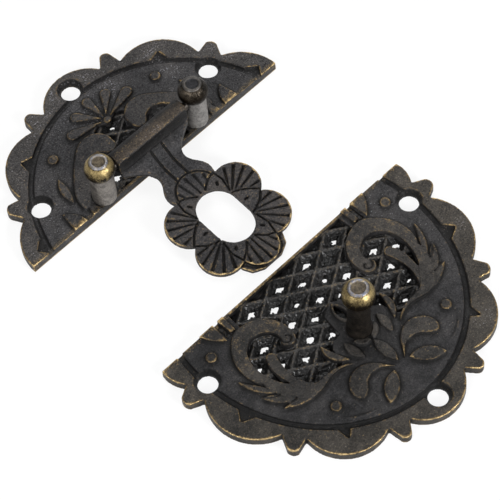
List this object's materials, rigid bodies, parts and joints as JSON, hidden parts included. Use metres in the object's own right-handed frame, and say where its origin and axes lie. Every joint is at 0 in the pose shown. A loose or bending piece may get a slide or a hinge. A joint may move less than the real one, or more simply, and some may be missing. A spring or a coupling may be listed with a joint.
{
  "type": "decorative box hasp",
  "caption": "Ornate cast hasp for a wooden box: a scalloped hinge plate with a pinned flower-shaped eye, and a filigree catch plate with the post that the eye drops over.",
  "frame": {"origin": "middle of the outline of both plates, on the plane of their backs", "axes": "+X along the straight edges and the hinge pin, +Y from the catch plate to the hinge plate, +Z out of the plates' fronts"},
  "size_m": [0.054, 0.0876, 0.0139],
  "materials": {
    "dark_bronze": "dark antique finish, worn to gold-brown on raised edges",
    "worn_post": "antique finish rubbed to a gold tone on the knob",
    "dark_post": "dark brown stem, knob rubbed to a gold tone",
    "pin_steel": "dull grey"
  },
  "bodies": {
    "hinge_side": {"hinge_plate": "dark_bronze", "hinge_post_left": "worn_post", "hinge_post_right": "worn_post", "hinge_pin": "pin_steel"},
    "hasp": {"hasp_arm": "dark_bronze"},
    "catch_side": {"catch_plate": "dark_bronze", "catch_post": "dark_post"}
  },
  "joints": [
    {"name": "hasp_swing", "type": "hinge", "parent": "hinge_side", "child": "hasp", "pos_m": [0, 0.02151, 0.0073], "axis": [-1, 0, 0], "range_deg": [0, 170]},
    {"name": "catch_slide", "type": "slide", "parent": "hinge_side", "child": "catch_side", "axis": [0, 1, 0], "range_m": [-0.03, 0.0008]}
  ]
}
